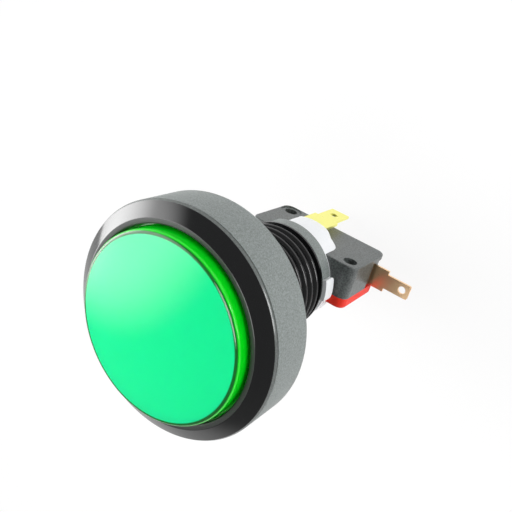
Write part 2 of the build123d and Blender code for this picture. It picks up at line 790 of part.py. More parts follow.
# Common terminal: rear tab, post inside the case and the shelf that carries the blade's anchor
shelf_level = blade_rear - close_fit - anchor_height
with BuildPart() as common_terminal:
    with BuildSketch(Plane.YZ.offset(com_x - sheet / 2)):
        with Locations((contact_y, switch_rear)):
            Rectangle(com_width, shelf_level - switch_rear, align=(Align.CENTER, Align.MIN))
            Rectangle(tab_width, com_reach, align=(Align.CENTER, Align.MAX))
        with Locations((contact_y, switch_rear - com_reach + tab_hole_inset)):
            Circle(tab_hole_radius, mode=Mode.SUBTRACT)
    extrude(amount=sheet)
    with BuildSketch(Plane.XY.offset(shelf_level - sheet)):
        with Locations((pivot_x - blade_tail, contact_y)):
            Rectangle(com_x + sheet / 2 - pivot_x + blade_tail, com_width, align=(Align.MIN, Align.CENTER))
    extrude(amount=sheet)
    with BuildSketch(Plane.XY.offset(shelf_level)):
        with Locations((pivot_x - blade_tail, contact_y)):
            Rectangle(blade_tail + anchor_reach, com_width, align=(Align.MIN, Align.CENTER))
    extrude(amount=anchor_height)
common_terminal.part.label = "common_terminal"
export_step(common_terminal.part, "parts/common_terminal.step")
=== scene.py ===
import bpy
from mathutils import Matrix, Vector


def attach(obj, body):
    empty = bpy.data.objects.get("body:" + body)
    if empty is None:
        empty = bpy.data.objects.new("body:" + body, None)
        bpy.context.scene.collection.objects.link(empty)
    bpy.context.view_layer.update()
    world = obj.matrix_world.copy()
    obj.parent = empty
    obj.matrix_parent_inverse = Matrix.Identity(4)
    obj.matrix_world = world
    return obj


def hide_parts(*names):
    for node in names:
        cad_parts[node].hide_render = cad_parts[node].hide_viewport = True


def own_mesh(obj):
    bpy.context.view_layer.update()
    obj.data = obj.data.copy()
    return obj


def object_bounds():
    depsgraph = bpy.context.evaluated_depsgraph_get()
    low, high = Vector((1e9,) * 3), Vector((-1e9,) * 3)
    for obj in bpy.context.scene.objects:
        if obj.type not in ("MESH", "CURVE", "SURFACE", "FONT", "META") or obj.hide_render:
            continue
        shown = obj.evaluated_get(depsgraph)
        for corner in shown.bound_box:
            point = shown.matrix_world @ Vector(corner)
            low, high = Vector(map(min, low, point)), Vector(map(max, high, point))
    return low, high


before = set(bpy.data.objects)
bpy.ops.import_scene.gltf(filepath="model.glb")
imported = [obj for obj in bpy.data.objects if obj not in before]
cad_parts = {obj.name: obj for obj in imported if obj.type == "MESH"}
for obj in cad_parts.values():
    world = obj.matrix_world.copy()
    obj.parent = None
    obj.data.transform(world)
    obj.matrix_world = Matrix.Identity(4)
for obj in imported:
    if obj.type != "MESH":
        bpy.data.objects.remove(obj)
cad_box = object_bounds()

from types import SimpleNamespace

import bmesh
import bpy
import numpy as np
from bpy.props import FloatProperty, IntProperty, PointerProperty, StringProperty
from mathutils import Matrix, Vector

bl_info = {
    "name": "Illuminated Push Button",
    "version": (1, 0, 0),
    "blender": (4, 5, 0),
    "location": "View3D > Sidebar > Push Button",
    "description": "Builds the looks of an illuminated push button around its solids",
    "category": "Object",
}

MM = 0.001
TURN = 2 * np.pi
BASE = "base"
BUTTON = "button"

# Points nearer than this are one point, in metres
MERGE = 1e-7

# Edges shorter than this are taken out, in metres
SHORTEST = 1e-8

# Width of the soft patches in a moulding's gloss and of the faint waves in clear plastic, in mm
PATCH_WIDTH = 11.1
WAVE_WIDTH = 16.7

# Camera: its place in mm, the directions of its right, top and back, the width of its sensor in mm and
# the nearest distance that it shows, in metres
CAMERA_PLACE = (56.001, 63.983, 91.139)
CAMERA_RIGHT = (0.78759, 0.25895, -0.55915)
CAMERA_UP = (-0.44589, 0.86581, -0.22707)
CAMERA_BACK = (0.42531, 0.42816, 0.79737)
SENSOR_WIDTH = 36.0
NEAREST = 0.005

# Middle of the part, in mm, that the lamps point at, and how far they stand from it, in metres
LAMP_TARGET = (0.0, 0.0, -10.0)
LAMP_DISTANCE = 0.35

# Half the floor's width and its gap under the part, in metres
FLOOR_HALF = 8.0
FLOOR_GAP = 0.0005


# Settings: sizes and colours that a user would change


def length(name, description, size):
    """Setting for a length, with its default in mm."""
    return FloatProperty(name=name, description=description, default=size * MM, unit="LENGTH")


def colour(name, description, value):
    """Setting for a colour, as sRGB hex."""
    return StringProperty(name=name, description=description, default=value)


def power(name, description, watts):
    """Setting for the power of a lamp, in watts."""
    return FloatProperty(name=name, description=description, default=watts, subtype="POWER")


class ButtonSizes(bpy.types.PropertyGroup):
    """Sizes of the moulded pieces. Heights count from the drum's rear face."""

    head_radius: length("Head radius", "Outer radius of drum and bezel", 22.5)
    drum_height: length("Drum height", "Height of the seam between drum and bezel", 9.5)
    drum_bore: length("Drum bore", "Inner radius of the drum", 20.3)
    drum_floor: length("Drum floor", "Thickness of the drum's floor", 2.4)
    neck_radius: length("Neck radius", "Outer radius of the neck's plain parts", 12.0)
    neck_bore: length("Neck bore", "Inner radius of the neck", 9.4)
    neck_length: length("Neck length", "Reach of the neck behind the drum", 24.8)
    collar: length("Collar", "Length of the plain collar behind the drum", 1.2)
    thread_pitch: length("Thread pitch", "Rise of the neck's thread in one turn", 2.2)
    thread_depth: length("Thread depth", "Crest to root of the neck's thread", 1.15)
    prong_length: length("Prong length", "Reach of the two prongs beyond the neck", 3.4)
    seam_gap: length("Seam gap", "Height of the shadow line between drum and bezel", 0.2)
    bezel_top: length("Bezel top", "Height of the land round the lens", 11.8)
    bezel_bore: length("Bezel bore", "Inner radius of the bezel's lip", 18.4)
    lens_radius: length("Lens radius", "Outer radius of the lens", 17.9)
    lens_top: length("Lens top", "Height of the lens at its middle", 15.2)
    lens_crown: length("Lens crown", "Drop of the lens face from its middle to its edge", 1.2)
    segments: IntProperty(name="Segments", description="Steps round each turned form", default=224, min=48)


class ButtonColours(bpy.types.PropertyGroup):
    """Colours of the materials, as sRGB hex."""

    # Painted sheen: this black is given as grey, standing in for the sheen of light on its grain
    housing: colour("Housing", "Black of drum and prongs, as grey as its grain shows it", "#787F7D")
    neck: colour("Neck", "Smooth black of the thread", "#090B0C")
    bezel: colour("Bezel", "Glossy black of the front ring", "#0B0C0D")
    land: colour("Land", "Grained black of the flat round the lens", "#1A1E1B")
    # Painted sheen: this black is given as grey, standing in for the sheen of light on its half gloss
    rim: colour("Rim", "Black of the bezel's outer edge, as grey as its half gloss shows it", "#5A5F5D")
    lens: colour("Lens", "Tint of the clear green lens", "#00FFA5")
    lens_edge: colour("Lens edge", "Deeper green seen through the wall", "#00FF1E")
    # Painted shade: the dark line where the lens turns over is colour, standing in for shade at the
    # rounded edge
    lens_rim_painted_shade: colour("Lens rim", "Dark line where the lens turns over", "#006B22")
    diffuser: colour("Diffuser", "Milky white under the lens", "#F2F5F2")
    holder: colour("Holder", "White of the lamp holder", "#EDEFF1")
    lamp_tab: colour("Lamp tab", "Pale brass of the lamp terminals", "#FFFB8E")
    lamp: colour("Lamp", "Clear epoxy of the lamp", "#F4F6F2")
    lead: colour("Lead", "Tinned wire of the lamp", "#C4C6C8")
    spring: colour("Spring", "Bright steel of the return spring", "#B9BBBD")
    # Painted sheen: this black is given as grey, standing in for the sheen of light on its satin
    case: colour("Case", "Black of the switch case, as grey as its satin shows it", "#545958")
    cover: colour("Cover", "Red of the switch cover", "#F52A08")
    terminal: colour("Terminal", "Brass of the switch terminals", "#FFD6A8")
    blade: colour("Blade", "Bronze of the switch blade", "#B9844E")
    contact: colour("Contact", "Silver of the switch contacts", "#DADAD6")
    paper: colour("Paper", "Pale grey of the floor, where it takes the shadow", "#E7E7E7")
    light: colour("Light", "White of the floor in the picture and of the light all round", "#FFFFFF")


class StageSettings(bpy.types.PropertyGroup):
    """Light and camera."""

    lens_mm: FloatProperty(
        name="Lens", description="Focal length on a 36 mm sensor", default=45.751, unit="CAMERA"
    )
    world: FloatProperty(name="World", description="Strength of the even light all round", default=0.3)
    left: FloatProperty(name="Left", description="Strength of the soft panel at the left", default=4.2)
    strip: FloatProperty(name="Strip", description="Strength of the narrow panel at the left", default=5.0)
    horizon: FloatProperty(name="Horizon", description="Light of the pale band all round", default=0.45)
    right: power("Right", "Power of the soft lamp at the right", 0.5)
    top: power("Top", "Power of the soft lamp at the upper right", 0.09)
    front: power("Front", "Power of the soft lamp in front of the lens", 0.42)


def lengths(settings):
    """Lengths among the settings, in mm, each under its own name."""
    values = {name: getattr(settings, name) for name in settings.__annotations__}
    in_mm = {name: value / MM for name, value in values.items() if isinstance(value, float)}
    return SimpleNamespace(**in_mm)


# Surfaces, with every size in mm


def rounded(corners, steps=6):
    """Outline (r, z) whose corners (r, z, radius) are arcs, or stay sharp where the radius is 0.

    A corner P between the unit directions u and v to its neighbours gets an arc of radius r with its
    centre on the bisector, at P + (u + v) / |u + v| * r / sin(a / 2), where a is the corner's angle.
    The arc runs between the two tangent points P + u t and P + v t, with t = r / tan(a / 2).
    """
    corners = np.asarray(corners, float)
    points, radii = corners[:, :2], corners[:, 2]
    before, after = np.roll(points, 1, axis=0), np.roll(points, -1, axis=0)
    share = np.linspace(0.0, 1.0, steps + 1)[:, None]
    out = []
    for corner, last, following, radius in zip(points, before, after, radii):
        if radius <= 0:
            out.append(corner[None, :])
            continue
        u = (last - corner) / np.linalg.norm(last - corner)
        v = (following - corner) / np.linalg.norm(following - corner)
        half = np.arccos(np.clip(u @ v, -1, 1)) / 2
        centre = corner + (u + v) / np.linalg.norm(u + v) * radius / np.sin(half)
        start = corner + u * radius / np.tan(half) - centre
        end = corner + v * radius / np.tan(half) - centre
        turn = np.pi - 2 * half
        arc = np.sin((1 - share) * turn) * start + np.sin(share * turn) * end
        out.append(centre + arc / np.sin(turn))
    return np.concatenate(out)


def grid_faces(rows, columns, close_rows, close_columns):
    """Four-sided faces of a grid of rows by columns, joined end to end where asked."""
    last_row = rows if close_rows else rows - 1
    last_column = columns if close_columns else columns - 1
    i, j = np.meshgrid(np.arange(last_row), np.arange(last_column), indexing="ij")
    here, below, right = i * columns, (i + 1) % rows * columns, (j + 1) % columns
    return np.stack([here + j, here + right, below + right, below + j], axis=-1).reshape(-1, 4)


def capped_faces(rows, columns):
    """Faces of a bar whose rows are closed outlines, with a flat cap on the first and the last."""
    first = np.arange(columns)
    caps = [first.tolist(), (first + (rows - 1) * columns).tolist()]
    return grid_faces(rows, columns, False, True).tolist() + caps


def turned(radius, height, segments, close=True):
    """Turned form: point (i, j) is (r cos a, r sin a, z) with a = 2 pi j / segments.

    radius is one value for each profile point, or one for each point and angle. close joins the last
    profile point to the first.
    """
    angle = np.linspace(0, TURN, segments, endpoint=False)[None, :]
    radius = np.asarray(radius, float)
    radius = radius[:, None] if radius.ndim == 1 else radius
    radius = np.broadcast_to(radius, (len(height), segments))
    level = np.broadcast_to(np.asarray(height, float)[:, None], radius.shape)
    points = np.stack([radius * np.cos(angle), radius * np.sin(angle), level], axis=-1)
    return points.reshape(-1, 3), grid_faces(len(height), segments, close, True)


def arc_block(profile, start, end, steps):
    """Block along an arc: (r cos a, r sin a, z) for a closed outline (r, z) and a from start to end.

    The two angles are in degrees.
    """
    angle = np.radians(np.linspace(start, end, steps))[:, None]
    r, z = profile[:, 0][None, :], profile[:, 1][None, :]
    level = np.broadcast_to(z, (steps, len(profile)))
    points = np.stack([r * np.cos(angle), r * np.sin(angle), level], axis=-1)
    return points.reshape(-1, 3), capped_faces(steps, len(profile))


def thread_form(phase):
    """Height of a thread's flank from 0 at the root to 1 at the crest, over one pitch.

    A triangle wave 1 - |2 f - 1| of the phase's fraction f, stretched so that the root is flat over a
    seventh of the pitch. The upper part of each flank, as high as tip, bends over the crest in a parabola
    with the flank's slope where they meet, and the whole is scaled back to a height of 1.
    """
    flat, tip = 0.14, 0.7
    wave = np.clip((1 - np.abs(2 * (phase % 1.0) - 1) - flat) / (1 - flat), 0, 1)
    crest = 1 - tip / 2
    return np.where(wave > 1 - tip, crest - (1 - wave) ** 2 / (2 * tip), wave) / crest


def threaded_neck(size, levels, angle):
    """Radius of the threaded neck for a column of levels and a row of angles.

    The crest starts at 227 degrees, half a pitch from the neck's end, and ends half a pitch from the
    collar: z = low + pitch * t after t turns. phase is the height over that helix in pitches, so it is
    whole on the crest, and along is t there. The ridge runs out over run_out turns at both ends. Its crest
    stays relief under the neck's plain radius. A ring of that radius, which rises within slope, closes the
    neck at the first level.
    """
    start, run_out, relief, slope = np.radians(227.0), 0.06, 0.05, 0.15
    low = size.thread_pitch / 2 - size.neck_length
    turns = (size.neck_length - size.collar - size.thread_pitch) / size.thread_pitch
    turn = (angle - start) / TURN
    phase = (levels - low) / size.thread_pitch - turn
    along = turn + np.round(phase)
    ends = np.clip(along / run_out, 0, 1) * np.clip((turns - along) / run_out, 0, 1)
    ridge = size.thread_depth * thread_form(phase + 0.5) * ends
    ring = (size.thread_depth + relief) * np.clip((levels[0] + slope - levels) / slope, 0, 1)
    return size.neck_radius - relief - size.thread_depth + np.maximum(ridge, ring)


def dome(size, reach, drop):
    """Lens face (r, z) at the radii in reach, lowered by a drop.

    A sphere of radius s = (l l + c c) / (2 c), for the lens radius l and its crown c, which gives
    z = top - drop - s + sqrt(s s - r r).
    """
    sphere = (size.lens_radius**2 + size.lens_crown**2) / (2 * size.lens_crown)
    return np.stack([reach, size.lens_top - drop - sphere + np.sqrt(sphere**2 - reach**2)], axis=-1)


def coil(radius, wire, low, high, turns, per_turn=48, around=12):
    """Round wire on a helix: c + w (cos p n + sin p b), with outward normal n and binormal b.

    The middle line is c = (R cos t, R sin t, z0 + k t), with k the rise for each radian.
    """
    t = np.linspace(0, TURN * turns, int(per_turn * turns) + 1)[:, None]
    p = np.linspace(0, TURN, around, endpoint=False)[None, :]
    rise = (high - low - wire) / (TURN * turns)
    slope = np.hypot(radius, rise)
    normal = np.stack([np.cos(t), np.sin(t), 0 * t], axis=-1)
    binormal = np.stack([rise * np.sin(t), -rise * np.cos(t), radius + 0 * t], axis=-1) / slope
    centre = np.stack([radius * np.cos(t), radius * np.sin(t), low + wire / 2 + rise * t], axis=-1)
    points = centre + wire / 2 * (np.cos(p)[..., None] * normal + np.sin(p)[..., None] * binormal)
    return points.reshape(-1, 3), capped_faces(len(t), around)


def jaw_arc(radius, middle, level, reach, steps=17):
    """Arc (r, z) = (m + R cos a, z0 - R sin a) from a = 0 to where r has come in to reach."""
    angle = np.arccos((reach - middle) / radius) * np.linspace(0.0, 1.0, steps)
    return np.stack([middle + radius * np.cos(angle), level - radius * np.sin(angle)], axis=-1)


def jaw_skin(outer, inner, left, low, fade, steps=49):
    """Skin on part of a turned form, between the planes x = left and y = low: (r sin a, r cos a, z).

    The angle a runs from asin(left / r) on the first plane to acos(low / r) on the second, so that both
    ends are flat. outer and inner hold (r, z) in the same order, with every r above low. Between the two
    values of x in fade, the outer face sinks by most of w = s s (3 - 2 s) to the inner one, and a thin
    edge is left, so that the skin stays a closed form.
    """
    share = np.linspace(0.0, 1.0, steps)[None, :]
    most = 0.97

    def angles(r):
        """Angles of each row of points, spread evenly between the two planes."""
        start, end = np.arcsin(left / r), np.arccos(low / r)
        return start + share * (end - start)

    x = outer[:, :1] * np.sin(angles(outer[:, :1]))
    s = np.clip((x - fade[0]) / (fade[1] - fade[0]), 0, 1)
    sink = (most * s * s * (3 - 2 * s))[..., None]
    face = outer[:, None, :] * (1 - sink) + inner[:, None, :] * sink
    back = np.broadcast_to(inner[::-1, None, :], face.shape)
    r, z = np.moveaxis(np.concatenate([face, back]), -1, 0)
    points = np.stack([r * np.sin(angles(r)), r * np.cos(angles(r)), z], axis=-1)
    return points.swapaxes(0, 1).reshape(-1, 3), capped_faces(steps, len(r))


def add_piece(name, shapes, material, body, nodes=(), sharp=35.0):
    """Mesh object from one or more (points in mm, faces), riding on a body and standing for CAD nodes.

    Edges that turn by more than sharp degrees stay sharp.
    """
    points, faces, first = [], [], 0
    for vertices, polygons in shapes:
        points.append(np.asarray(vertices) * MM)
        polygons = polygons.tolist() if isinstance(polygons, np.ndarray) else polygons
        faces.extend([[index + first for index in polygon] for polygon in polygons])
        first += len(vertices)
    mesh = bpy.data.meshes.new(name)
    mesh.from_pydata(np.concatenate(points).tolist(), [], faces)
    form = bmesh.new()
    form.from_mesh(mesh)
    bmesh.ops.remove_doubles(form, verts=form.verts, dist=MERGE)
    bmesh.ops.dissolve_degenerate(form, edges=form.edges, dist=SHORTEST)
    bmesh.ops.recalc_face_normals(form, faces=form.faces)
    form.to_mesh(mesh)
    form.free()
    mesh.shade_smooth()
    mesh.set_sharp_from_angle(angle=np.radians(sharp))
    mesh.materials.append(material)
    piece = bpy.data.objects.new(name, mesh)
    bpy.context.scene.collection.objects.link(piece)
    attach(piece, body)
    if nodes:
        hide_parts(*nodes)
    return piece


def finish_zone(piece, material, test):
    """Gives another finish to the faces whose centres, as radius and height in mm, pass a test."""
    mesh = piece.data
    centres = np.empty(3 * len(mesh.polygons))
    mesh.polygons.foreach_get("center", centres)
    index = np.empty(len(mesh.polygons), np.int32)
    mesh.polygons.foreach_get("material_index", index)
    chosen = test(np.hypot(centres[0::3], centres[1::3]) / MM, centres[2::3] / MM)
    index[chosen] = len(mesh.materials)
    mesh.polygons.foreach_set("material_index", index)
    mesh.materials.append(material)


def finish_node(node, material):
    """Gives a CAD node that keeps its own shape a finished material."""
    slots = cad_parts[node].data.materials
    slots.clear()
    slots.append(material)


# Materials


def linear(text):
    """Linear colour, with alpha 1, from an sRGB hex value, by the two parts of the sRGB curve."""
    value = np.array([int(text[i : i + 2], 16) for i in (1, 3, 5)]) / 255
    value = np.where(value <= 0.04045, value / 12.92, ((value + 0.055) / 1.055) ** 2.4)
    return (*value.tolist(), 1.0)


def add_node(tree, kind, settings=None, **inputs):
    """Adds a node with its settings, and gives its inputs values or the sockets that feed them.

    An input goes by its name, with _ for a space, or by i and its number where several share a name.
    """
    node = tree.nodes.new(kind)
    for name, value in (settings or {}).items():
        setattr(node, name, value)
    for name, value in inputs.items():
        numbered = name[0] == "i" and name[1:].isdigit()
        socket = node.inputs[int(name[1:]) if numbered else name.replace("_", " ")]
        if isinstance(value, bpy.types.NodeSocket):
            tree.links.new(value, socket)
        else:
            socket.default_value = value
    return node


def new_material(name):
    """New material and its node tree, which is empty."""
    material = bpy.data.materials.new(name)
    material.use_nodes = True
    material.node_tree.nodes.clear()
    return material, material.node_tree


def seen_rays(tree):
    """Socket that is 1 for rays that show the backdrop, straight or through gloss and clear plastic."""
    rays = add_node(tree, "ShaderNodeLightPath").outputs
    seen = rays["Is Camera Ray"]
    for other in ("Is Glossy Ray", "Is Transmission Ray"):
        either = add_node(tree, "ShaderNodeMath", {"operation": "MAXIMUM"}, i0=seen, i1=rays[other])
        seen = either.outputs[0]
    return seen


def moulded(name, shade, roughness, grain_mm, grain_height, spread, speck, ior=1.53):
    """Moulded plastic with a spark-eroded grain.

    Real grain is some 0.1 mm wide; it is drawn grain_mm wide, coarse enough to show. A fine noise of that
    width raises the surface by grain_height mm. Its middle part, from 0.35 to 0.65, is stretched to the
    full range and moves the colour by a share of speck to either side. A broad noise moves the roughness
    by spread.
    """
    material, tree = new_material(name)
    place = add_node(tree, "ShaderNodeTexCoord").outputs["Object"]
    fine = add_node(
        tree, "ShaderNodeTexNoise", Vector=place, Scale=1 / (grain_mm * MM), Detail=3.0, Roughness=0.6
    ).outputs["Fac"]
    broad = add_node(tree, "ShaderNodeTexNoise", Vector=place, Scale=1 / (PATCH_WIDTH * MM), Detail=2.0)
    rough = add_node(
        tree,
        "ShaderNodeMapRange",
        Value=broad.outputs["Fac"],
        To_Min=roughness - spread,
        To_Max=roughness + spread,
    )
    bump = add_node(tree, "ShaderNodeBump", Height=fine, Distance=grain_height * MM, Strength=1.0)
    grains = add_node(tree, "ShaderNodeMapRange", Value=fine, From_Min=0.35, From_Max=0.65)
    base = np.array(linear(shade))
    speckled = add_node(
        tree,
        "ShaderNodeMix",
        {"data_type": "RGBA"},
        Factor=grains.outputs["Result"],
        i6=(base * (1 - speck)).tolist(),
        i7=np.minimum(base * (1 + speck), 1.0).tolist(),
    )
    shader = add_node(
        tree,
        "ShaderNodeBsdfPrincipled",
        Base_Color=speckled.outputs[2],
        Roughness=rough.outputs["Result"],
        IOR=ior,
        Normal=bump.outputs["Normal"],
    )
    add_node(tree, "ShaderNodeOutputMaterial", Surface=shader.outputs["BSDF"])
    return material


def clear_tinted(name, shade, roughness, clear, glow, ior, zones=()):
    """Moulded clear or part-milky plastic, coloured through, with faint moulding waves.

    clear is the share of light that goes through, glow the share that scatters inside, over a distance of
    scatter mm. Each zone (colour, inner, outer) takes over smoothly between two radii in mm from the axis.
    """
    wave_height, scatter = 0.01, 2.5
    material, tree = new_material(name)
    place = add_node(tree, "ShaderNodeTexCoord").outputs["Object"]
    base = linear(shade)
    if zones:
        level = (1.0, 1.0, 0.0)
        flat = add_node(tree, "ShaderNodeVectorMath", {"operation": "MULTIPLY"}, i0=place, i1=level)
        reach = add_node(tree, "ShaderNodeVectorMath", {"operation": "LENGTH"}, i0=flat.outputs["Vector"])
    for tint, inner, outer in zones:
        share = add_node(
            tree,
            "ShaderNodeMapRange",
            {"interpolation_type": "SMOOTHSTEP"},
            Value=reach.outputs["Value"],
            From_Min=inner * MM,
            From_Max=outer * MM,
        )
        base = add_node(
            tree,
            "ShaderNodeMix",
            {"data_type": "RGBA"},
            Factor=share.outputs["Result"],
            i6=base,
            i7=linear(tint),
        ).outputs[2]
    waves = add_node(tree, "ShaderNodeTexNoise", Vector=place, Scale=1 / (WAVE_WIDTH * MM), Detail=1.0)
    bump = add_node(
        tree, "ShaderNodeBump", Height=waves.outputs["Fac"], Distance=wave_height * MM, Strength=0.3
    )
    shader = add_node(
        tree,
        "ShaderNodeBsdfPrincipled",
        Base_Color=base,
        Roughness=roughness,
        IOR=ior,
        Transmission_Weight=clear,
        Subsurface_Weight=glow,
        Subsurface_Radius=(1.0, 1.0, 1.0),
        Subsurface_Scale=scatter * MM,
        Normal=bump.outputs["Normal"],
    )
    add_node(tree, "ShaderNodeOutputMaterial", Surface=shader.outputs["BSDF"])
    return material


def rolled_metal(name, shade, roughness, line_mm, spread):
    """Rolled or drawn metal with fine lines along X, whose gloss and height vary from line to line.

    Real lines are some 0.05 mm apart; they are drawn line_mm wide, coarse enough to show.
    """
    line_height, stretch = 0.004, 20.0
    material, tree = new_material(name)
    place = add_node(tree, "ShaderNodeTexCoord").outputs["Object"]
    along = add_node(tree, "ShaderNodeMapping", Vector=place, Scale=(1 / stretch, 1.0, 1.0))
    lines = add_node(
        tree, "ShaderNodeTexNoise", Vector=along.outputs["Vector"], Scale=1 / (line_mm * MM), Detail=2.0
    )
    rough = add_node(
        tree,
        "ShaderNodeMapRange",
        Value=lines.outputs["Fac"],
        To_Min=roughness - spread,
        To_Max=roughness + spread,
    )
    bump = add_node(
        tree, "ShaderNodeBump", Height=lines.outputs["Fac"], Distance=line_height * MM, Strength=0.6
    )
    shader = add_node(
        tree,
        "ShaderNodeBsdfPrincipled",
        Base_Color=linear(shade),
        Metallic=1.0,
        Roughness=rough.outputs["Result"],
        Normal=bump.outputs["Normal"],
    )
    add_node(tree, "ShaderNodeOutputMaterial", Surface=shader.outputs["BSDF"])
    return material


# Pieces


class BUTTON_OT_housing(bpy.types.Operator):
    """Build the drum, the threaded neck and the two bayonet prongs"""

    bl_idname = "push_button.housing"
    bl_label = "Housing"

    def execute(self, context):
        settings, colours = context.scene.button_sizes, context.scene.button_colours
        size, segments = lengths(settings), settings.segments
        # Moulded ABS with an eroded grain: black with a painted grey sheen in its colour, no mirror
        grained = moulded(
            "abs_black_grained_painted_sheen",
            colours.housing,
            roughness=0.46,
            grain_mm=0.28,
            grain_height=0.03,
            spread=0.05,
            speck=0.28,
        )
        # The same ABS from a polished thread insert: smooth black with bright crests
        smooth = moulded(
            "abs_black_smooth",
            colours.neck,
            roughness=0.14,
            grain_mm=0.6,
            grain_height=0.002,
            spread=0.04,
            speck=0.1,
        )
        # Ring under the lens flange, guide for the plunger, and the plain ring that ends the neck
        stop_inside, stop_outside, stop_top = 17.7, 19.1, 5.0
        guide_outside, guide_top = 10.4, 4.0
        end_ring, end_step = 0.55, 0.05
        rear_round, seam_round, end_round = 0.6, 0.08, 0.2
        head, neck, bore = size.head_radius, size.neck_radius, size.neck_bore
        floor, end = size.drum_floor, -size.neck_length
        outline = rounded(
            [
                (neck, -size.collar, 0),
                (neck, 0, 0),
                (head, 0, rear_round),
                (head, size.drum_height, seam_round),
                (size.drum_bore, size.drum_height, 0),
                (size.drum_bore, floor, 0),
                (stop_outside, floor, 0),
                (stop_outside, stop_top, 0),
                (stop_inside, stop_top, 0),
                (stop_inside, floor, 0),
                (guide_outside, floor, 0),
                (guide_outside, guide_top, 0),
                (bore, guide_top, 0),
                (bore, end, 0),
                (neck, end, end_round),
                (neck, end + end_ring, 0),
            ]
        )
        angle = np.linspace(0, TURN, segments, endpoint=False)[None, :]
        # Keyway in the bore for the plunger's leg
        key_angle, key_half_width, key_radius = 0.75 * TURN, 1.1, 10.05
        keyway = np.abs(angle - key_angle) < key_half_width / bore
        in_bore = np.isclose(outline[:, :1], bore)
        plain = np.where(in_bore & keyway, key_radius, outline[:, :1])
        thread_low = end + end_ring + end_step
        rows_per_pitch = 22
        rows = round(-(size.collar + thread_low) / size.thread_pitch * rows_per_pitch)
        levels = np.linspace(thread_low, -size.collar, rows)[:, None]
        radius = np.concatenate([threaded_neck(size, levels, angle), plain])
        height = np.concatenate([levels[:, 0], outline[:, 1]])
        shapes = [turned(radius, height, segments)]
        # Prongs of a quarter turn each, sunk a little into the neck's end
        prong_starts, quarter, prong_steps, round_steps = (22.5, 202.5), 90.0, 64, 4
        inner_round, outer_round, sinking = 0.15, 0.25, 0.1
        low, sunk = end - size.prong_length, end + sinking
        corners = [(bore, low, inner_round), (neck, low, outer_round), (neck, sunk, 0), (bore, sunk, 0)]
        prong = rounded(corners, round_steps)
        for start in prong_starts:
            shapes.append(arc_block(prong, start, start + quarter, prong_steps))
        shell = add_piece("housing_shell", shapes, grained, BASE, ["housing"])
        margin = 0.02
        finish_zone(shell, smooth, lambda r, z: (z < -margin) & (z > end + margin))
        return {"FINISHED"}


class BUTTON_OT_bezel(bpy.types.Operator):
    """Build the glossy ring in front of the drum"""

    bl_idname = "push_button.bezel"
    bl_label = "Bezel"

    def execute(self, context):
        settings, colours = context.scene.button_sizes, context.scene.button_colours
        size, segments = lengths(settings), settings.segments
        # Polished ABS: deep black with clear reflections
        gloss = moulded(
            "abs_black_polished",
            colours.bezel,
            roughness=0.1,
            grain_mm=0.6,
            grain_height=0.001,
            spread=0.03,
            speck=0.1,
        )
        skirt_inside, skirt_outside, skirt_low, lip_low = 19.4, 20.25, 7.5, 9.9
        groove_depth, side_height, bevel_width = 0.6, 0.04, 0.245
        cone_low, cone_inside = 10.0, 19.5
        bevel_round, land_round, lip_round = 0.12, 0.35, 0.15
        head, seam, top, bore = size.head_radius, size.drum_height, size.bezel_top, size.bezel_bore
        rim_low = seam + size.seam_gap
        cone_slope = (top - cone_low) / (head - cone_inside)
        profile = rounded(
            [
                (skirt_inside, skirt_low, 0),
                (skirt_outside, skirt_low, 0),
                (skirt_outside, seam, 0),
                (head - groove_depth, seam, 0),
                (head - groove_depth, rim_low, 0),
                (head, rim_low, 0),
                (head, rim_low + side_height, 0),
                (head - bevel_width, cone_low + cone_slope * bevel_width, bevel_round),
                (cone_inside, top, land_round),
                (bore, top, land_round),
                (bore, lip_low, lip_round),
                (skirt_inside, lip_low, 0),
            ]
        )
        shape = turned(profile[:, 0], profile[:, 1], segments)
        ring = add_piece("bezel_ring", [shape], gloss, BASE, ["front_bezel"])
        # The same ABS left grained on the land round the lens: dull black
        land = moulded(
            "abs_black_land",
            colours.land,
            roughness=0.42,
            grain_mm=0.28,
            grain_height=0.02,
            spread=0.05,
            speck=0.3,
        )
        land_edge, land_low = cone_inside - 0.05, top - 0.3
        finish_zone(ring, land, lambda r, z: (r < land_edge) & (z > land_low))
        # The same ABS half-gloss on the bevelled outer edge: a soft bright line, and a painted grey sheen
        # in its colour
        rim = moulded(
            "abs_black_half_gloss_painted_sheen",
            colours.rim,
            roughness=0.2,
            grain_mm=0.28,
            grain_height=0.002,
            spread=0.04,
            speck=0.2,
        )
        rim_inside, rim_margin = head - 0.3, 0.005
        finish_zone(ring, rim, lambda r, z: (r > rim_inside) & (z > rim_low + rim_margin))
        return {"FINISHED"}


